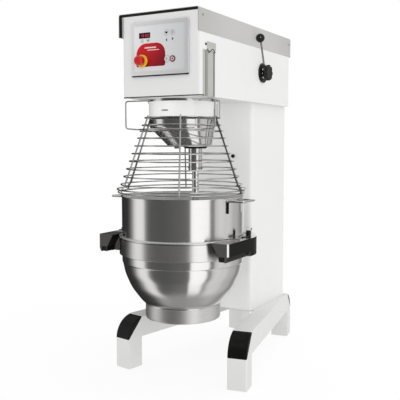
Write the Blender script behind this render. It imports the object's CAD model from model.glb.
"""Looks of a floor-standing planetary mixer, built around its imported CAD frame.

The front faces -Y and up is +Z. The bowl turns about a vertical axis, and the control panel
stands above it on the front of the head. Added pieces are in mm from the foot of that axis;
shaders and lights work in metres.
"""

import math

import bmesh
import bpy
from mathutils import Matrix, Vector

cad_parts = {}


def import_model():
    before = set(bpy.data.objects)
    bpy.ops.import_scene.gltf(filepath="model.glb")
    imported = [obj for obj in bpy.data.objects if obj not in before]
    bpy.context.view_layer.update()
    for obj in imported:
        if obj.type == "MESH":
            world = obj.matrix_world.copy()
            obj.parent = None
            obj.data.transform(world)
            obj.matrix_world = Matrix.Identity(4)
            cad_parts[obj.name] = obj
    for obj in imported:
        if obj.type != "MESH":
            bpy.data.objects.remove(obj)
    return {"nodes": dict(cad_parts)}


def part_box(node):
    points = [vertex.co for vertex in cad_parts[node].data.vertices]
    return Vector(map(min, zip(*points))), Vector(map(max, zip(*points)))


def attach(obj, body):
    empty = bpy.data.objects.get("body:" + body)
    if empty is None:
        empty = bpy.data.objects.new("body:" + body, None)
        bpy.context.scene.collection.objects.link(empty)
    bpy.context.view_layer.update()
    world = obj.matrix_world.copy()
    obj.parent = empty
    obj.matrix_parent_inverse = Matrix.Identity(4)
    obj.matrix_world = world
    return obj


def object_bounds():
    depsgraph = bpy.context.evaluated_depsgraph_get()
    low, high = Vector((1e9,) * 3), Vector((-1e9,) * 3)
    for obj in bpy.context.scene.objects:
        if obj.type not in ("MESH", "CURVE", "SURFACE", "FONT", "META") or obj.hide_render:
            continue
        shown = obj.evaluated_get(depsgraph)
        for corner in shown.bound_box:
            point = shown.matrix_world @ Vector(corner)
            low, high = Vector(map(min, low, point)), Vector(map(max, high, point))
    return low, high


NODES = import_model()["nodes"]
CAD_LOW, CAD_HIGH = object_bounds()
scene = bpy.context.scene
scene.view_settings.view_transform = "Standard"

# the bowl axis stands in the middle of the bowl's box
bowl_low, bowl_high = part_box("bowl")
AXIS_X = (bowl_low.x + bowl_high.x) / 2
AXIS_Y = (bowl_low.y + bowl_high.y) / 2
CAMERA_YAW = math.radians(29.65)


def place(x, y, z):
    """Scene point in metres from mm about the bowl axis."""
    return Vector((AXIS_X + x / 1000, AXIS_Y + y / 1000, z / 1000))


# ---------------------------------------------------------------- colours
def display(*channels):
    """0-255 display colour to scene colour."""
    shares = [c / 255 for c in channels]
    linear = [s / 12.92 if s <= 0.04045 else ((s + 0.055) / 1.055) ** 2.4 for s in shares]
    return (*linear, 1.0)


def shade(colour, factor):
    """colour made lighter or darker by a factor."""
    return tuple(min(1.0, c * factor) for c in colour[:3]) + (1.0,)


# ---------------------------------------------------------------- node tools
class Tree:
    """Short calls for building the node tree of a material or world, from empty."""

    def __init__(self, owner):
        owner.use_nodes = True
        self.nodes = owner.node_tree.nodes
        self.links = owner.node_tree.links
        self.nodes.clear()

    def add(self, kind, **props):
        node = self.nodes.new(kind)
        for key, value in props.items():
            setattr(node, key, value)
        return node

    def put(self, socket, value):
        """Link value to an input if it is a socket, or else set it."""
        if isinstance(value, bpy.types.NodeSocket):
            self.links.new(value, socket)
        else:
            socket.default_value = value

    def fill(self, node, *values):
        """Fill the first inputs of a node, and return its first output."""
        for socket, value in zip(node.inputs, values):
            self.put(socket, value)
        return node.outputs[0]

    def math(self, operation, *values):
        return self.fill(self.add("ShaderNodeMath", operation=operation), *values)

    def times(self, a, b):
        return self.math("MULTIPLY", a, b)

    def dot(self, a, b):
        node = self.add("ShaderNodeVectorMath", operation="DOT_PRODUCT")
        self.fill(node, a, b)
        return node.outputs["Value"]

    def split(self, vector):
        node = self.add("ShaderNodeSeparateXYZ")
        self.fill(node, vector)
        return tuple(node.outputs)

    def combine(self, x, y, z):
        return self.fill(self.add("ShaderNodeCombineXYZ"), x, y, z)

    def span(self, value, start, end, low=0.0, high=1.0, smooth=False):
        """low to high as value runs from start to end, held beyond them."""
        node = self.add("ShaderNodeMapRange", clamp=True)
        if smooth:
            node.interpolation_type = "SMOOTHSTEP"
        return self.fill(node, value, start, end, low, high)

    def near(self, value, centre, outer, inner, smooth=False):
        """1 within inner of centre, falling to 0 at outer."""
        distance = self.math("ABSOLUTE", self.math("SUBTRACT", value, centre))
        return self.span(distance, outer, inner, smooth=smooth)

    def ramp(self, factor, stops):
        """Grey ramp through stops of (position, brightness)."""
        node = self.add("ShaderNodeValToRGB")
        elements = node.color_ramp.elements
        while len(elements) < len(stops):
            elements.new(0.5)
        for element, (position, grey) in zip(elements, stops):
            element.position = position
            element.color = (grey, grey, grey, 1.0)
        return self.fill(node, factor)

    def mix(self, factor, a, b):
        """Colour a blended to b."""
        node = self.add("ShaderNodeMix", data_type="RGBA")
        for index, value in ((0, factor), (6, a), (7, b)):
            self.put(node.inputs[index], value)
        return node.outputs[2]

    def lerp(self, factor, low, high):
        """Number low blended to high."""
        node = self.add("ShaderNodeMix", data_type="FLOAT")
        return self.fill(node, factor, *(), ) if False else self._lerp(node, factor, low, high)

    def _lerp(self, node, factor, low, high):
        for index, value in ((0, factor), (2, low), (3, high)):
            self.put(node.inputs[index], value)
        return node.outputs[0]


def named_material(name):
    return bpy.data.materials.get(name) or bpy.data.materials.new(name)


class Mat(Tree):
    """One material on a Principled shader. at is the shaded place, in metres."""

    def __init__(self, name):
        super().__init__(named_material(name))
        output = self.add("ShaderNodeOutputMaterial")
        self.shader = self.add("ShaderNodeBsdfPrincipled")
        self.put(output.inputs[0], self.shader.outputs[0])
        coords = self.add("ShaderNodeTexCoord")
        self.at = coords.outputs["Object"]
        self.normal = coords.outputs["Normal"]
        self.x, self.y, self.z = self.split(self.at)

    def set(self, **inputs):
        """Set shader inputs, with underscores for the spaces in their names."""
        for key, value in inputs.items():
            self.put(self.shader.inputs[key.replace("_", " ")], value)

    def noise(self, scale, detail=2.0, roughness=0.5, at=None):
        node = self.add("ShaderNodeTexNoise")
        self.put(node.inputs["Vector"], at or self.at)
        node.inputs["Scale"].default_value = scale
        node.inputs["Detail"].default_value = detail
        node.inputs["Roughness"].default_value = roughness
        return node.outputs[0]

    def voronoi(self, scale, feature="F1", output="Distance"):
        node = self.add("ShaderNodeTexVoronoi", feature=feature)
        self.put(node.inputs["Vector"], self.at)
        node.inputs["Scale"].default_value = scale
        return node.outputs[output]

    def bump(self, height, strength, depth):
        node = self.add("ShaderNodeBump")
        node.inputs["Strength"].default_value = strength
        node.inputs["Distance"].default_value = depth
        self.put(node.inputs["Height"], height)
        return node.outputs[0]

    def grain(self, scale, strength, depth, detail=2.0):
        """Normal of a finely noisy surface."""
        return self.bump(self.noise(scale, detail), strength, depth)

    def uneven(self, scale, low, high, detail=2.0):
        """Number that drifts with noise between low and high."""
        return self.lerp(self.noise(scale, detail), low, high)

    def tint(self, base, amount, scale):
        """base with slow light and dark drift, as a share of its value."""
        drift = self.noise(scale, detail=3.0)
        return self.mix(self.span(drift, 0.3, 0.7), shade(base, 1 - amount), shade(base, 1 + amount))

    def around(self):
        """Angle, radius and height about the bowl axis."""
        offset = self.add("ShaderNodeVectorMath", operation="SUBTRACT")
        x, y, z = self.split(self.fill(offset, self.at, tuple(place(0, 0, 0))))
        radius = self.math("SQRT", self.math("ADD", self.times(x, x), self.times(y, y)))
        return self.math("ARCTAN2", y, x), radius, z


# ---------------------------------------------------------------- painted and black pieces
def powder_coat(name, base):
    """Orange-peel paint with a little floor dust low down."""
    mat = Mat(name)
    low_down = mat.span(mat.z, start=0.20, end=0.0, smooth=True)
    dust = mat.times(mat.times(low_down, mat.noise(scale=14, detail=4)), 0.10)
    peel = mat.noise(scale=420, roughness=0.45)
    fine = mat.times(mat.noise(scale=1900), 0.35)
    mat.set(
        Base_Color=mat.mix(dust, mat.tint(base, amount=0.012, scale=3.0), display(150, 147, 140)),
        Roughness=mat.uneven(scale=9, detail=3, low=0.32, high=0.41),
        Coat_Weight=0.12,
        Coat_Roughness=0.22,
        Normal=mat.bump(mat.math("ADD", peel, fine), strength=0.16, depth=0.00025),
    )


powder_coat("white_paint", (0.80, 0.80, 0.795, 1))
powder_coat("frame_paint", (0.745, 0.745, 0.735, 1))

# cover: lighter in the middle of its depth, darker at the front and far back
COVER_DARK, COVER_LIGHT = (0.447, 0.443, 0.430, 1), (0.509, 0.505, 0.491, 1)
COVER_CLOUD = (0.531, 0.527, 0.513, 1)
mat = Mat("cover_grey")
middle = mat.span(mat.y, start=AXIS_Y - 0.20, end=AXIS_Y + 0.12, smooth=True)
far_back = mat.span(mat.y, start=AXIS_Y + 0.45, end=AXIS_Y + 0.78, smooth=True)
colour = mat.mix(far_back, mat.mix(middle, COVER_DARK, COVER_LIGHT), COVER_DARK)
cloud = mat.span(mat.noise(scale=5, detail=3), 0.3, 0.7)
mat.set(
    Base_Color=mat.mix(mat.times(cloud, 0.25), colour, COVER_CLOUD),
    Roughness=mat.uneven(scale=12, low=0.42, high=0.52),
    Normal=mat.bump(mat.voronoi(scale=1300), strength=0.18, depth=0.0002),
)

mat = Mat("black_foam")
cells = mat.voronoi(scale=520)
lumps = mat.math("ADD", cells, mat.noise(scale=240, detail=3))
mat.set(
    Base_Color=mat.mix(mat.span(cells, 0.1, 0.7), display(9, 9, 9), display(30, 30, 31)),
    Roughness=0.92,
    Specular_IOR_Level=0.2,
    Normal=mat.bump(lumps, strength=0.6, depth=0.0008),
)

mat = Mat("cap_black")
mat.set(
    Base_Color=mat.tint((0.0062, 0.0060, 0.0056, 1), amount=0.3, scale=20),
    Roughness=mat.uneven(scale=60, detail=3, low=0.26, high=0.36),
    Specular_IOR_Level=0.16,
    Normal=mat.grain(scale=700, detail=3, strength=0.12, depth=0.0002),
)


def dull_rubber(name, base, drift, roughness):
    mat = Mat(name)
    mat.set(
        Base_Color=mat.tint(base, amount=drift, scale=30),
        Roughness=roughness,
        Specular_IOR_Level=0.3,
        Normal=mat.grain(scale=900, detail=3, strength=0.35, depth=0.0004),
    )


dull_rubber("pad_rubber", display(20, 20, 19), drift=0.35, roughness=0.82)
dull_rubber("foot_rubber", display(178, 178, 174), drift=0.10, roughness=0.80)


# ---------------------------------------------------------------- metals
def metal(name, base, roughness, scratch, spread=0.06, turned=False):
    """Bare metal. A turned one has fine grinding lines that run round the bowl axis."""
    mat = Mat(name)
    if turned:
        angle, radius, height = mat.around()
        stretched = mat.combine(
            mat.times(angle, 2.2), mat.times(radius, 900), mat.times(height, 1500))
        lines = mat.noise(scale=1.0, detail=4, roughness=0.6, at=stretched)
    else:
        lines = mat.noise(scale=900, detail=4, roughness=0.6)
    mat.colour = mat.mix(mat.span(lines, 0.3, 0.7), shade(base, 0.90), base)
    mat.roughness = mat.span(
        lines, 0.25, 0.75, low=roughness - spread / 2, high=roughness + spread / 2)
    mat.set(
        Base_Color=mat.colour,
        Metallic=1.0,
        Roughness=mat.roughness,
        Normal=mat.bump(lines, strength=scratch, depth=0.0002),
    )
    return mat


# brushed bowl: reflections stay sharp sideways and spread upwards
SEAM_GREY = (0.20, 0.20, 0.195, 1)
SEAMS = (  # height, outer and inner half width, darkness
    (0.5710, 0.0022, 0.0010, 0.55),
    (0.6435, 0.0030, 0.0014, 0.62),
)
mat = metal("bowl_steel", (0.80, 0.79, 0.775, 1), roughness=0.17, scratch=0.04, turned=True)
tangent = mat.add("ShaderNodeTangent", direction_type="RADIAL", axis="Z")
_, radius, height = mat.around()
foot = mat.span(height, start=0.346, end=0.344)
band = mat.times(
    mat.span(height, start=0.570, end=0.573), mat.span(height, start=0.650, end=0.647))
inside = mat.times(
    mat.span(radius, start=0.2700, end=0.2694), mat.span(height, start=0.655, end=0.660))
lip = mat.near(height, centre=0.6505, outer=0.0034, inner=0.0022, smooth=True)
# short dark uprights on the outside, in front of the axis
upright_height = mat.times(
    mat.span(height, start=0.755, end=0.757), mat.span(height, start=0.815, end=0.811))
uprights = mat.times(
    mat.near(mat.y, centre=AXIS_Y - 0.075, outer=0.0085, inner=0.0075),
    mat.times(mat.span(radius, start=0.2722, end=0.2730), upright_height))
roughness = mat.roughness
for mask, value in ((foot, 0.44), (band, 0.30), (inside, 0.16), (lip, 0.60)):
    roughness = mat.lerp(mask, roughness, value)
colour = mat.colour
for centre, outer, inner, darkness in SEAMS:
    seam = mat.near(height, centre, outer, inner, smooth=True)
    colour = mat.mix(mat.times(seam, darkness), colour, SEAM_GREY)
for mask, value in (
    (uprights, (0.020, 0.020, 0.019, 1)),
    (lip, (1.0, 1.0, 0.99, 1)),
    (inside, (0.95, 0.95, 0.94, 1)),
):
    colour = mat.mix(mask, colour, value)
brushed = mat.math("SUBTRACT", 1.0, mat.math("MAXIMUM", foot, inside))
mat.set(
    Base_Color=colour,
    Roughness=roughness,
    Metallic=mat.lerp(inside, 1.0, 0.72),
    Anisotropic=mat.times(0.82, brushed),
    Anisotropic_Rotation=0.25,
    Tangent=tangent.outputs[0],
)

metal("polished_steel", (0.86, 0.86, 0.85, 1), roughness=0.12, scratch=0.03, spread=0.05)
metal("turned_steel", (0.70, 0.695, 0.68, 1), 0.10, scratch=0.02, spread=0.05, turned=True)

# guard wires: bright, but dark where they pass the left and right of the axis
mat = metal("wire_steel", (0.62, 0.62, 0.61, 1), roughness=0.10, scratch=0.03, spread=0.05)
angle = mat.around()[0]
sideways = mat.math("ABSOLUTE", mat.math("SINE", angle))
sides = mat.span(sideways, start=0.16, end=0.05, smooth=True)
mat.set(Base_Color=mat.mix(sides, mat.colour, (0.16, 0.16, 0.155, 1)))

metal("machined_steel", (0.62, 0.62, 0.62, 1), roughness=0.30, scratch=0.10, turned=True)
metal("brass", (0.72, 0.52, 0.22, 1), roughness=0.28, scratch=0.08, turned=True)
metal("rod_steel", (0.30, 0.30, 0.295, 1), roughness=0.22, scratch=0.04, spread=0.08)

mat = Mat("galvanised")
spangle = mat.split(mat.voronoi(scale=120, output="Color"))[0]
mat.set(
    Base_Color=mat.mix(spangle, (0.42, 0.43, 0.44, 1), (0.60, 0.61, 0.62, 1)),
    Metallic=0.9,
    Roughness=mat.lerp(spangle, 0.30, 0.48),
    Normal=mat.grain(scale=500, strength=0.15, depth=0.0002),
)

# side guides, with shadow lines down them
GUIDE_LINES = (  # mm along y from the bowl axis, half width in mm, tone
    (-133.0, 3.6, 0.22),
    (-115.5, 3.4, 0.26),
    (-64.0, 3.6, 0.22),
)
mat = Mat("guide_grey")
colour = mat.tint(display(181, 181, 176), amount=0.05, scale=10)
y_mm = mat.times(mat.math("SUBTRACT", mat.y, AXIS_Y), 1000.0)
for centre, half_width, tone in GUIDE_LINES:
    line = mat.times(
        mat.near(y_mm, centre, half_width, half_width * 0.4, smooth=True),
        mat.span(mat.z, start=1.439, end=1.436))
    colour = mat.mix(line, colour, (tone, tone, tone * 0.98, 1))
mat.set(
    Base_Color=colour,
    Roughness=0.48,
    Normal=mat.grain(scale=1400, strength=0.15, depth=0.0002),
)


# ---------------------------------------------------------------- panel materials
def across_panel(mat, left, right):
    """Colour that falls off from the left of the panel to its right."""
    return mat.mix(mat.span(mat.x, start=AXIS_X - 0.145, end=AXIS_X + 0.145), left, right)


mat = Mat("panel_silver")
stretched = mat.combine(mat.times(mat.x, 30), mat.times(mat.y, 900), mat.times(mat.z, 1600))
brush = mat.noise(scale=1.0, detail=3, at=stretched)
colour = across_panel(mat, (0.86, 0.86, 0.865, 1), (0.60, 0.60, 0.60, 1))
streaks = mat.times(mat.span(brush, 0.3, 0.7), 0.35)
mat.set(
    Base_Color=mat.mix(streaks, colour, (0.62, 0.62, 0.63, 1)),
    Metallic=0.25,
    Roughness=mat.span(brush, 0.2, 0.8, low=0.26, high=0.36),
    Normal=mat.bump(brush, strength=0.05, depth=0.0002),
)

mat = Mat("panel_film")
colour = across_panel(mat, (0.82, 0.82, 0.83, 1), (0.555, 0.57, 0.575, 1))
speckle = mat.times(mat.noise(scale=2600, detail=1), 0.05)
mat.set(
    Base_Color=mat.mix(speckle, colour, (0.50, 0.50, 0.52, 1)),
    Roughness=0.38,
    Normal=mat.grain(scale=2400, strength=0.10, depth=0.0001),
)

mat = Mat("key_film")
mat.set(
    Base_Color=mat.tint((0.64, 0.645, 0.65, 1), amount=0.03, scale=60),
    Roughness=0.36,
    Normal=mat.grain(scale=2400, strength=0.10, depth=0.0001),
)

mat = Mat("display_glass")
mat.set(
    Base_Color=mat.tint((0.012, 0.004, 0.008, 1), amount=0.4, scale=80),
    Roughness=0.10,
    Coat_Weight=0.6,
    Coat_Roughness=0.03,
    Normal=mat.grain(scale=300, detail=1, strength=0.02, depth=0.0001),
)

mat = Mat("pcb")
tracks = mat.span(mat.voronoi(scale=260, feature="DISTANCE_TO_EDGE"), 0.03, 0.08)
mat.set(
    Base_Color=mat.mix(tracks, (0.10, 0.30, 0.12, 1), (0.01, 0.10, 0.035, 1)),
    Roughness=0.35,
)


# ---------------------------------------------------------------- plastics and castings
def plastic(name, base, rough=0.3, coat=0.2, grain=1200, depth=0.12, drift=0.12, specular=0.5):
    """Moulded plastic. grain and depth are the scale and strength of its surface noise."""
    mat = Mat(name)
    mat.set(
        Specular_IOR_Level=specular,
        Base_Color=mat.tint(base, amount=drift, scale=40),
        Roughness=mat.uneven(scale=90, low=rough - 0.04, high=rough + 0.06),
        Coat_Weight=coat,
        Coat_Roughness=0.1,
        Normal=mat.grain(scale=grain, strength=depth, depth=0.0002),
    )


plastic("start_grey", (0.60, 0.61, 0.62, 1), rough=0.34, coat=0.1, drift=0.04)
plastic("stop_red", (0.18, 0.012, 0.02, 1), rough=0.32)
plastic("estop_yellow", (0.86, 0.52, 0.015, 1), drift=0.06)
plastic("estop_red", (0.56, 0.012, 0.012, 1), rough=0.24, coat=0.5, drift=0.10)
plastic("black_plastic", (0.0085, 0.0085, 0.008, 1), rough=0.26, coat=0.0, specular=0.26)
plastic("cable_black", (0.012, 0.012, 0.012, 1), rough=0.5, coat=0.0, specular=0.3)
plastic("seal_rubber", (0.010, 0.010, 0.010, 1), rough=0.55, coat=0.0, depth=0.2, specular=0.2)
plastic("belt_rubber", (0.018, 0.018, 0.018, 1), rough=0.7, coat=0.0, depth=0.3)
plastic("motor_paint", (0.08, 0.11, 0.13, 1), rough=0.42, coat=0.1, grain=500, depth=0.25)

mat = Mat("cast_iron")
mat.set(
    Base_Color=mat.tint((0.16, 0.165, 0.17, 1), amount=0.2, scale=60),
    Metallic=0.6,
    Roughness=0.55,
    Normal=mat.grain(scale=420, detail=4, strength=0.5, depth=0.0006),
)

# yoke: dark hammered paint on its edges, a ground steel deck on top
HAMMER_DARK = shade((0.088, 0.086, 0.082), 0.55)
mat = Mat("yoke_dark")
normal_x, normal_y, normal_z = mat.split(mat.normal)
deck = mat.span(normal_z, start=0.75, end=0.93, smooth=True)
side = mat.span(mat.math("ABSOLUTE", normal_x), start=0.55, end=0.90, smooth=True)
spots = mat.voronoi(scale=210, feature="SMOOTH_F1")
paint = mat.mix(side, (0.074, 0.072, 0.069, 1), (0.0060, 0.0058, 0.0053, 1))
hammered = mat.times(mat.span(spots, 0.1, 0.6), mat.lerp(side, 0.4, 0.0))
paint = mat.mix(hammered, paint, HAMMER_DARK)
# bright faces turned to the front and half to the side, above the lower edge
facing = mat.times(
    mat.span(mat.math("ABSOLUTE", normal_x), start=0.60, end=0.66),
    mat.times(
        mat.span(mat.math("ABSOLUTE", normal_x), start=0.80, end=0.75),
        mat.span(normal_y, start=-0.55, end=-0.64)))
bright = mat.times(facing, mat.span(mat.z, start=0.600, end=0.604))
paint = mat.mix(bright, paint, (0.80, 0.80, 0.79, 1))
# the deck brightens towards the back
rearward = mat.span(mat.y, start=AXIS_Y - 0.120, end=AXIS_Y - 0.040, smooth=True)
front_steel = mat.tint((0.27, 0.27, 0.265, 1), amount=0.10, scale=9)
steel = mat.mix(rearward, front_steel, (0.86, 0.86, 0.85, 1))
mat.set(
    Base_Color=mat.mix(deck, paint, steel),
    Metallic=mat.times(deck, 0.75),
    Roughness=mat.lerp(deck, 0.40, 0.30),
    Specular_IOR_Level=mat.lerp(deck, mat.lerp(side, 0.28, 0.08), 0.5),
    Normal=mat.bump(spots, strength=0.22, depth=0.0006),
)

# badge: darkens from its upper left to its lower right
FADE_SLOPE = 0.9
mat = Mat("badge_red")
fade = mat.span(
    mat.math("ADD", mat.x, mat.times(mat.z, -FADE_SLOPE)),
    start=AXIS_X - 0.11 - FADE_SLOPE * 1.44,
    end=AXIS_X + 0.03 - FADE_SLOPE * 1.385,
    smooth=True)
colour = mat.mix(fade, (0.62, 0.010, 0.016, 1), (0.16, 0.002, 0.010, 1))
mottle = mat.times(mat.noise(scale=160, detail=3), 0.25)
mat.set(
    Base_Color=mat.mix(mottle, colour, (0.45, 0.006, 0.012, 1)),
    Roughness=0.22,
    Coat_Weight=0.4,
    Coat_Roughness=0.08,
    Normal=mat.grain(scale=900, strength=0.05, depth=0.0001),
)

PRINTED = dict(coat=0.0, grain=2200, depth=0.1)
plastic("badge_rim", (0.80, 0.62, 0.60, 1), drift=0.05)
plastic("ink_dark", (0.018, 0.016, 0.018, 1), rough=0.42, **PRINTED)
plastic("ink_grey", (0.30, 0.30, 0.31, 1), rough=0.42, **PRINTED)
plastic("ink_light", (0.78, 0.74, 0.74, 1), rough=0.40, drift=0.04, **PRINTED)

mat = Mat("digit_red")
mat.set(
    Base_Color=mat.tint((0.75, 0.03, 0.10, 1), amount=0.1, scale=200),
    Emission_Color=(0.9, 0.05, 0.14, 1),
    Emission_Strength=0.12,
    Roughness=0.4,
)

# screws are bright; the two catch pins among them are blackened
mat = Mat("screw_heads")
pin = mat.times(
    mat.near(mat.z, centre=1.459, outer=0.0085, inner=0.0075),
    mat.near(mat.y, centre=AXIS_Y - 0.139, outer=0.0085, inner=0.0075))
steel = mat.tint((0.60, 0.60, 0.595, 1), amount=0.10, scale=90)
mat.set(
    Base_Color=mat.mix(pin, steel, (0.010, 0.010, 0.010, 1)),
    Metallic=mat.math("SUBTRACT", 1.0, pin),
    Roughness=mat.uneven(scale=60, low=0.24, high=0.36),
    Specular_IOR_Level=0.3,
    Normal=mat.grain(scale=900, strength=0.10, depth=0.0002),
)

# material of each CAD node, where it isn't the one its slot names
for node, name in {
    "planet_housing": "turned_steel",
    "tool_shaft": "turned_steel",
    "guard_front": "wire_steel",
    "guard_rear": "wire_steel",
    "guard_hoop": "wire_steel",
    "lever_rod": "rod_steel",
    "base_frame": "frame_paint",
    "foot_pads": "foot_rubber",
    "casing_screws": "screw_heads",
}.items():
    NODES[node].material_slots[0].material = bpy.data.materials[name]


# ---------------------------------------------------------------- outlines
# Panel outlines are (x, z) points, counter-clockwise as seen from the front.
def circle(x, z, radius, steps=40, start=0.0, end=360.0):
    """Full circle, or an arc with both its ends, between angles in degrees."""
    count = steps if end - start >= 360 else steps + 1
    angles = [math.radians(start + (end - start) * i / steps) for i in range(count)]
    return [(x + radius * math.cos(a), z + radius * math.sin(a)) for a in angles]


def rounded(left, right, low, high, radii, steps=10):
    """Rounded rectangle, radii for lower left, lower right, upper right, upper left."""
    r0, r1, r2, r3 = radii
    return (
        circle(left + r0, low + r0, r0, steps, 180, 270)
        + circle(right - r1, low + r1, r1, steps, 270, 360)
        + circle(right - r2, high - r2, r2, steps, 0, 90)
        + circle(left + r3, high - r3, r3, steps, 90, 180))


def inset(outline, distance):
    """Outline moved inwards, with the reach of its sharp corners held back."""
    moved = []
    count = len(outline)
    for i in range(count):
        before, point, after = (Vector(outline[k % count]) for k in (i - 1, i, i + 1))
        arriving = (point - before).normalized()
        leaving = (after - point).normalized()
        inward = Vector((-arriving.y - leaving.y, arriving.x + leaving.x)).normalized()
        share = max(0.35, inward.dot(Vector((-arriving.y, arriving.x))))
        moved.append(point + inward * distance / share)
    return moved


def notch(outline, x, z, radius, steps=30):
    """Outline cut back along a circle that crosses its lower edge twice."""
    centre = Vector((x, z))
    dense = []
    for start, end in zip(outline, outline[1:] + outline[:1]):
        start, end = Vector(start), Vector(end)
        count = max(1, int((end - start).length))  # points about 1 mm apart
        dense += [start.lerp(end, i / count) for i in range(count)]
    outside = [(point - centre).length > radius for point in dense]
    first = next(i for i in range(len(dense)) if outside[i] and not outside[i - 1])
    order = [*range(first, len(dense)), *range(first)]
    kept = [dense[i] for i in order if outside[i]]
    # the arc runs clockwise over the top, from the last kept point back to the first
    a0 = math.atan2(kept[-1].y - z, kept[-1].x - x)
    a1 = math.atan2(kept[0].y - z, kept[0].x - x) - 2 * math.pi
    angles = [a0 + (a1 - a0) * i / steps for i in range(1, steps)]
    return kept + [(x + radius * math.cos(a), z + radius * math.sin(a)) for a in angles]


def arrow(x, tip, shoulder, tail, head, shaft):
    """Upright arrow from heights of its parts and half widths of its head and shaft."""
    side = 1 if tail > tip else -1
    offsets = [(0, tip), (head, shoulder), (shaft, shoulder), (shaft, tail),
               (-shaft, tail), (-shaft, shoulder), (-head, shoulder)]
    return [(x + side * dx, z) for dx, z in offsets]


def at_depth(outline, y):
    return [(x, y, z) for x, z in outline]


# ---------------------------------------------------------------- piece tools
class Piece:
    """A mesh in mm from the bowl axis, made of one or more closed shapes."""

    def __init__(self):
        self.mesh = bmesh.new()

    def skin(self, rows, closed=False):
        """Faces between rows of points. Closed joins last to first; otherwise caps the ends."""
        loops = [[self.mesh.verts.new(point) for point in row] for row in rows]
        pairs = list(zip(loops, loops[1:]))
        if closed:
            pairs.append((loops[-1], loops[0]))
        for a, b in pairs:
            for i in range(len(a)):
                k = (i + 1) % len(a)
                self.mesh.faces.new((a[i], a[k], b[k], b[i]))
        if closed:
            return []
        return [self.mesh.faces.new(loops[0]), self.mesh.faces.new(loops[-1])]

    def prism(self, outline, front, back, bevel=0.0):
        """Plate between two y places, with a soft front edge if it has a bevel."""
        rows = [at_depth(outline, back), at_depth(outline, front + bevel)]
        if bevel:
            rows.append(at_depth(inset(outline, bevel), front))
        bmesh.ops.triangulate(self.mesh, faces=self.skin(rows))

    def ring(self, centre, outer, inner, front, back, bevel):
        """Flat washer facing the front."""
        profile = [
            (inner, back), (inner, front + bevel), (inner + bevel, front),
            (outer - bevel, front), (outer, front + bevel), (outer, back),
        ]
        self.skin([at_depth(circle(*centre, r, 64), y) for r, y in profile], closed=True)

    def stud(self, y, z, radius, base, top):
        """Low domed disc on a side face, from x base out to x top."""
        profile = [(radius, base), (radius, base + (top - base) * 0.55), (radius * 0.72, top)]
        self.skin([[(x, *point) for point in circle(y, z, r, 24)] for r, x in profile])

    def strip(self, path, low, high, thickness):
        """Flat band along path (x, y), standing off to the right of its direction."""
        rows = []
        for i, (x, y) in enumerate(path):
            before, after = path[max(0, i - 1)], path[min(len(path) - 1, i + 1)]
            along = (Vector(after) - Vector(before)).normalized()
            x1, y1 = x + along.y * thickness, y - along.x * thickness
            rows.append([(x, y, low), (x1, y1, low), (x1, y1, high), (x, y, high)])
        self.skin(rows)

    def wire(self, path, radius, steps=10):
        """Round wire along points that lie in a plane of constant x."""
        points = [Vector(point) for point in path]
        rows = []
        for i, point in enumerate(points):
            before, after = points[max(0, i - 1)], points[min(len(points) - 1, i + 1)]
            along = (after - before).normalized()
            across = along.cross(Vector((1, 0, 0))).normalized()
            sideways = along.cross(across).normalized()
            rows.append([
                point + (across * math.cos(a) + sideways * math.sin(a)) * radius
                for a in (2 * math.pi * k / steps for k in range(steps))])
        self.skin(rows)

    def finish(self, name, material, body):
        """Make the scene object, riding on a CAD body."""
        self.mesh.transform(Matrix.Scale(0.001, 4))
        self.mesh.transform(Matrix.Translation((AXIS_X, AXIS_Y, 0)))
        bmesh.ops.recalc_face_normals(self.mesh, faces=self.mesh.faces)
        thing = add_mesh(name, self.mesh)
        thing.data.materials.append(bpy.data.materials[material])
        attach(thing, body)


def add_mesh(name, mesh):
    """Scene object from a bmesh, which is freed."""
    data = bpy.data.meshes.new(name)
    mesh.to_mesh(data)
    mesh.free()
    thing = bpy.data.objects.new(name, data)
    scene.collection.objects.link(thing)
    return thing


# ---------------------------------------------------------------- panel print
FACE = -188.0  # y of the panel's front face
KEY_FACE = -189.2  # y of the small keys' front faces
PRINT = dict(front=FACE - 0.16, back=FACE - 0.02)
KEY_PRINT = dict(front=KEY_FACE - 0.14, back=KEY_FACE - 0.01)
DIGIT_DEPTH = dict(front=FACE - 0.78, back=FACE - 0.58)

# key centres (x, z)
BOWL_UP, BOWL_DOWN = (37, 1510), (66, 1509)
TIMER_MINUS, TIMER_PLUS = (-84, 1483), (-54, 1485)
START, STOP = (37, 1404), (66, 1403)

# plain rounded badge, cut back round a circle at its lower left
badge = Piece()
badge_outline = notch(rounded(-114, 30, 1377, 1473, (7, 10, 44, 48)), -84, 1401, radius=27.2)
badge.prism(badge_outline, front=FACE - 0.45, back=FACE - 0.02, bevel=0.15)
badge.finish("panel_badge", "badge_red", "frame")

# two plain light bars on the badge
bars = Piece()
for left, right, low, high, radius in ((-72, -14, 1452, 1457.5, 2.6), (-58, 0, 1443, 1446.5, 1.7)):
    bar = rounded(left, right, low, high, (radius,) * 4, steps=6)
    bars.prism(bar, front=FACE - 0.62, back=FACE - 0.46, bevel=0.05)
bars.finish("badge_bars", "badge_rim", "frame")

# timer read-out: seven-segment digits, lit segments clockwise from the top a to f, g across
LIT = {0: "abcdef", 1: "bc", 3: "abgcd", 5: "afgcd"}
DIGIT_W, DIGIT_H, STROKE = 7.6, 10.8, 1.8
DIGIT_LEFT, DIGIT_LOW, DIGIT_PITCH = -93.5, 1500.6, 11.3
COLON_GAP = 1.6


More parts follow.
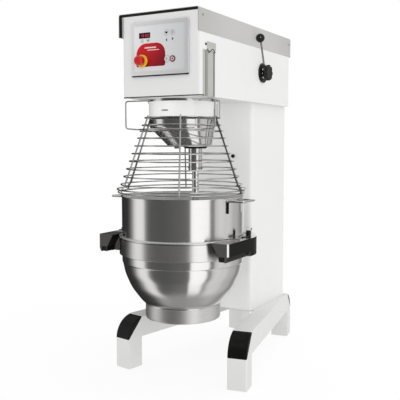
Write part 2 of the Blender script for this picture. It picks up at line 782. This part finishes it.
def add_digit(read_out, digit, x, z):
    """One digit, its lower left corner at x, z."""
    right, top, middle = x + DIGIT_W, z + DIGIT_H, z + DIGIT_H / 2
    end, gap = STROKE * 0.6, STROKE * 0.2
    boxes = {  # left, low, right, high
        "a": (x + end, top - STROKE, right - end, top),
        "b": (right - STROKE, middle + gap, right, top - end),
        "c": (right - STROKE, z + end, right, middle - gap),
        "d": (x + end, z, right - end, z + STROKE),
        "e": (x, z + end, x + STROKE, middle - gap),
        "f": (x, middle + gap, x + STROKE, top - end),
        "g": (x + end, middle - STROKE / 2, right - end, middle + STROKE / 2),
    }
    cut = STROKE * 0.3
    for segment in LIT[digit]:
        x0, z0, x1, z1 = boxes[segment]
        read_out.prism([
            (x0 + cut, z0), (x1 - cut, z0), (x1, z0 + cut), (x1, z1 - cut),
            (x1 - cut, z1), (x0 + cut, z1), (x0, z1 - cut), (x0, z0 + cut),
        ], **DIGIT_DEPTH)


digits = Piece()
for i, digit in enumerate((1, 5, 3, 0)):
    gap = COLON_GAP if i > 1 else 0
    add_digit(digits, digit, DIGIT_LEFT + i * DIGIT_PITCH + gap, DIGIT_LOW)
for z in (1503.6, 1508.2):
    digits.prism(circle(-71.2, z, 0.9, 16), **DIGIT_DEPTH)
digits.finish("display_digits", "digit_red", "frame")

# thin bezel round the read-out
BEZEL = -99.3, -43.7, 1494.5, 1517.5  # left, right, low, high
BEZEL_WIDTH = 1.4
bezel_outer = rounded(*BEZEL, (1.8,) * 4, steps=5)
bezel_inner = rounded(
    *(edge + side * BEZEL_WIDTH for edge, side in zip(BEZEL, (1, -1, 1, -1))), (0.8,) * 4, steps=5)
foot_y, top_y = FACE - 0.02, FACE - 0.75
bezel = Piece()
bezel.skin([
    at_depth(bezel_outer, foot_y), at_depth(bezel_outer, top_y),
    at_depth(bezel_inner, top_y), at_depth(bezel_inner, foot_y),
], closed=True)
bezel.finish("display_bezel", "ink_dark", "frame")

# rings printed round the keys
rings = Piece()
for centre, radius, width in (
    (BOWL_UP, 12.4, 1.1), (BOWL_DOWN, 12.4, 1.1),
    (TIMER_MINUS, 8.2, 0.8), (TIMER_PLUS, 8.2, 0.8), (START, 15.5, 1.3),
):
    rings.ring(centre, radius, radius - width, bevel=0.03, **PRINT)
rings.finish("panel_rings", "ink_grey", "frame")

# arrows under the bowl keys
arrows = Piece()
up_arrow = arrow(BOWL_UP[0], tip=1487.5, shoulder=1480.5, tail=1475.5, head=3.6, shaft=1.4)
down_arrow = arrow(BOWL_DOWN[0], tip=1477.0, shoulder=1483.2, tail=1488.2, head=3.8, shaft=1.6)
arrows.prism(up_arrow, **PRINT)
arrows.prism(down_arrow, **PRINT)
arrows.finish("panel_marks", "ink_dark", "frame")

# marks on the keys themselves; each rides on its key
x, z = BOWL_UP
mark = Piece()
cup = circle(x, z + 1.2, 6.0, 16, 180, 360)
mark.prism([(x - 6.0, z + 4.2)] + cup + [(x + 6.0, z + 4.2)], **KEY_PRINT)
mark.finish("bowl_up_mark", "ink_dark", "bowl_up")

x, z = BOWL_DOWN
mark = Piece()
mark.ring(BOWL_DOWN, 6.6, 5.2, bevel=0.03, **KEY_PRINT)
key_arrow = arrow(x, tip=z - 3.8, shoulder=z + 1.0, tail=z + 3.6, head=3.2, shaft=1.0)
mark.prism(key_arrow, **KEY_PRINT)
mark.finish("bowl_down_mark", "ink_grey", "bowl_down")

ARM, HALF = 3.4, 1.0  # arm length and half thickness of the minus and plus
x, z = TIMER_MINUS
mark = Piece()
mark.prism(rounded(x - ARM, x + ARM, z - HALF, z + HALF, (0.6,) * 4, steps=4), **KEY_PRINT)
mark.finish("timer_minus_mark", "ink_grey", "timer_minus")

x, z = TIMER_PLUS
mark = Piece()
mark.prism([(x + dx, z + dz) for dx, dz in (
    (-ARM, -HALF), (-HALF, -HALF), (-HALF, -ARM), (HALF, -ARM), (HALF, -HALF), (ARM, -HALF),
    (ARM, HALF), (HALF, HALF), (HALF, ARM), (-HALF, ARM), (-HALF, HALF), (-ARM, HALF),
)], **KEY_PRINT)
mark.finish("timer_plus_mark", "ink_dark", "timer_plus")

# start and stop symbols
x, z = START
mark = Piece()
start_bar = rounded(x - 1.6, x + 1.6, z - 4.8, z + 4.8, (1.2,) * 4, steps=5)
mark.prism(start_bar, front=-190.62, back=-190.38)
mark.finish("start_mark", "ink_dark", "start")

mark = Piece()
mark.ring(STOP, 7.6, 4.6, front=-191.3, back=-190.9, bevel=0.1)
mark.finish("stop_mark", "ink_light", "stop")

# position dots on the right side of the speed quadrant
dots = Piece()
for y, z in ((406, 1409), (404, 1390), (411, 1371)):
    dots.stud(y, z, radius=3.8, base=201.0, top=201.6)
dots.finish("quadrant_dots", "ink_light", "frame")

# ---------------------------------------------------------------- trims
# lower edge trim of the head: along the front, round the corners, a little way down each side
HEAD_SIDE, HEAD_CORNER, CORNER_Y = 193.2, 15.0, -165.2
corner_x = HEAD_SIDE - HEAD_CORNER
trim = Piece()
trim.strip(
    [(-HEAD_SIDE, -150.0)]
    + circle(-corner_x, CORNER_Y, HEAD_CORNER, 10, 180, 270)
    + circle(corner_x, CORNER_Y, HEAD_CORNER, 10, 270, 360)
    + [(HEAD_SIDE, -150.0)],
    low=1250.6, high=1254.6, thickness=0.5)
trim.finish("head_edge_trim", "seal_rubber", "frame")

# gasket under the panel frame
gasket = Piece()
gasket.strip([(-139.0, -181.0), (139.0, -181.0)], low=1337.0, high=1340.8, thickness=7.4)
gasket.finish("panel_gasket", "seal_rubber", "frame")

# front lip of each side strip, lapped over the head's corner
LIP_SIDE, LIP_FRONT, LIP_BACK = 193.15, -163.0, -154.4
lips = Piece()
for path in (
    [(-LIP_SIDE, LIP_BACK), (-LIP_SIDE, LIP_FRONT)],
    [(LIP_SIDE, LIP_FRONT), (LIP_SIDE, LIP_BACK)],
):
    lips.strip(path, low=1255.0, high=1436.5, thickness=0.45)
lips.finish("guide_lips", "guide_grey", "frame")

# sprung wire hooks over the side catches
HOOK = [  # y, z along the wire, from front to back
    (-128.1, 1440.6), (-121.0, 1435.0), (-114.5, 1432.0), (-114.0, 1429.5), (-117.1, 1427.0),
    (-112.0, 1427.5), (-99.2, 1434.8), (-90.0, 1440.5), (-82.0, 1443.8), (-76.0, 1443.0),
    (-70.7, 1439.9), (-65.0, 1435.5), (-60.2, 1431.7),
]
hooks = Piece()
for x in (-195.4, 195.4):
    hooks.wire([(x, y, z) for y, z in HOOK], radius=1.5)
hooks.finish("catch_hooks", "black_plastic", "frame")

# ---------------------------------------------------------------- floor
FLOOR_HALF = 14  # metres
floor_material = named_material("floor_pale")
tree = Tree(floor_material)
output = tree.add("ShaderNodeOutputMaterial")
glow = tree.add("ShaderNodeEmission")
tree.fill(glow, (1, 1, 1, 1), 1.0)
diffuse = tree.add("ShaderNodeBsdfDiffuse")
diffuse.inputs["Color"].default_value = (0.98, 0.98, 0.98, 1)
blend = tree.add("ShaderNodeMixShader")
glow_share = 0.88
tree.put(output.inputs[0], tree.fill(blend, glow_share, diffuse.outputs[0], glow.outputs[0]))

sheet = bmesh.new()
sheet.faces.new([
    sheet.verts.new((x * FLOOR_HALF, y * FLOOR_HALF, 0))
    for x, y in ((-1, -1), (1, -1), (1, 1), (-1, 1))])
floor = add_mesh("floor", sheet)
floor.location.z = CAD_LOW.z - 0.0003
floor.data.materials.append(floor_material)
floor.visible_glossy = False

# ---------------------------------------------------------------- world
# Soft white studio. Rays off metal see a ring of tall soft boxes and dark cards.
CARDS = [  # degrees round from the camera towards its right, brightness
    (-180, 0.02), (-150, 0.03), (-124, 0.04), (-115, 0.12), (-107, 0.35), (-99, 0.80),
    (-92, 0.95), (-82, 0.95), (-76, 0.85), (-72, 0.35), (-67, 0.17), (-61, 0.11),
    (-36, 0.10), (-8, 0.13), (8, 0.15), (14, 0.20), (17, 1.20), (26, 1.25),
    (50, 1.20), (54, 0.28), (60, 0.24), (64, 0.66), (76, 0.80), (86, 0.72),
    (95, 0.75), (110, 0.55), (125, 0.50), (138, 0.26), (146, 0.30), (156, 0.85),
    (168, 0.80), (180, 0.02),
]
world = bpy.data.worlds.new("studio")
scene.world = world
tree = Tree(world)
world.cycles.sampling_method = "NONE"
output = tree.add("ShaderNodeOutputWorld")
background = tree.add("ShaderNodeBackground")
tree.put(output.inputs[0], background.outputs[0])
ray = tree.add("ShaderNodeTexCoord").outputs["Generated"]
rightward = tree.dot(ray, (math.cos(CAMERA_YAW), math.sin(CAMERA_YAW), 0))
nearward = tree.dot(ray, (math.sin(CAMERA_YAW), -math.cos(CAMERA_YAW), 0))
bearing = tree.math("ARCTAN2", rightward, nearward)
turn = tree.math("ADD", tree.math("DIVIDE", bearing, 2 * math.pi), 0.5)
cards = tree.ramp(turn, [(degrees / 360 + 0.5, grey) for degrees, grey in CARDS])
up = tree.split(ray)[2]
overhead = tree.span(up, start=0.45, end=0.85, smooth=True)
glossy = tree.mix(overhead, cards, (0.85, 0.85, 0.85, 1))
underfoot = tree.span(up, start=-0.80, end=-1.0, smooth=True)
glossy = tree.mix(underfoot, glossy, (0.34, 0.34, 0.34, 1))
# other light comes a little stronger from the right
lean = tree.dot(ray, (0.94, 0.20, 0.27))
soft = tree.math("ADD", 0.965, tree.times(lean, 0.39))
path = tree.add("ShaderNodeLightPath")
colour = tree.mix(path.outputs["Is Glossy Ray"], tree.combine(soft, soft, soft), glossy)
colour = tree.mix(path.outputs["Is Camera Ray"], colour, (1, 1, 1, 1))
tree.fill(background, colour, 1.0)


# ---------------------------------------------------------------- lights
def sun(name, azimuth, elevation, strength, spread, receivers):
    """Sun on the named nodes only, in degrees. Azimuth 0 is the front, growing towards +X."""
    data = bpy.data.lights.new(name, "SUN")
    data.energy = strength
    data.angle = math.radians(spread)
    lamp = bpy.data.objects.new(name, data)
    a, e = math.radians(azimuth), math.radians(elevation)
    towards = Vector((math.sin(a) * math.cos(e), -math.cos(a) * math.cos(e), math.sin(e)))
    lamp.rotation_euler = towards.to_track_quat("Z", "Y").to_euler()
    lamp.location = place(0, -1500, 1500)
    scene.collection.objects.link(lamp)
    group = bpy.data.collections.new(name + "_on")
    for node in receivers:
        group.objects.link(NODES[node])
    lamp.light_linking.receiver_collection = group
    return lamp


# a shadowless wash on the column, and two lamps that don't light diffusely
wash = sun("column_wash", azimuth=-15, elevation=10, strength=0.54, spread=40,
           receivers=["column_shell", "collar_skirt"])
wash.data.use_shadow = False
glint = sun("ball_glint", azimuth=34, elevation=10, strength=3.0, spread=10,
            receivers=["lever_ball"])
glint.visible_diffuse = False
sparkle = sun("sparkle", azimuth=42, elevation=12, strength=0.10, spread=5,
              receivers=["lever_hub", "estop_button", "leg_caps"])
sparkle.visible_diffuse = False

# pieces that don't darken the diffuse light on what is behind them
for node in (
    "top_cover", "bowl_yoke", "guard_front", "guard_rear", "guard_hoop", "planet_housing",
    "tool_shaft", "beater", "cover_seal", "lever_ball", "lever_hub", "lever_rod", "leg_caps",
):
    NODES[node].visible_diffuse = False
# pieces left out of reflections
for node in (
    "base_frame", "leg_caps", "foot_pads", "lift_motor", "lift_screw", "lift_rails", "mains_cable",
):
    NODES[node].visible_glossy = False

# ---------------------------------------------------------------- camera
lens = bpy.data.cameras.new("camera")
lens.lens = 59.40
lens.sensor_width = 36.0
lens.clip_start = 0.05
lens.clip_end = 60
camera = bpy.data.objects.new("camera", lens)
camera.location = place(1518.54, -2513.5, 1055.95)
camera.rotation_euler = (math.radians(85.12), 0, CAMERA_YAW)
scene.collection.objects.link(camera)
scene.camera = camera

bpy.context.view_layer.update()
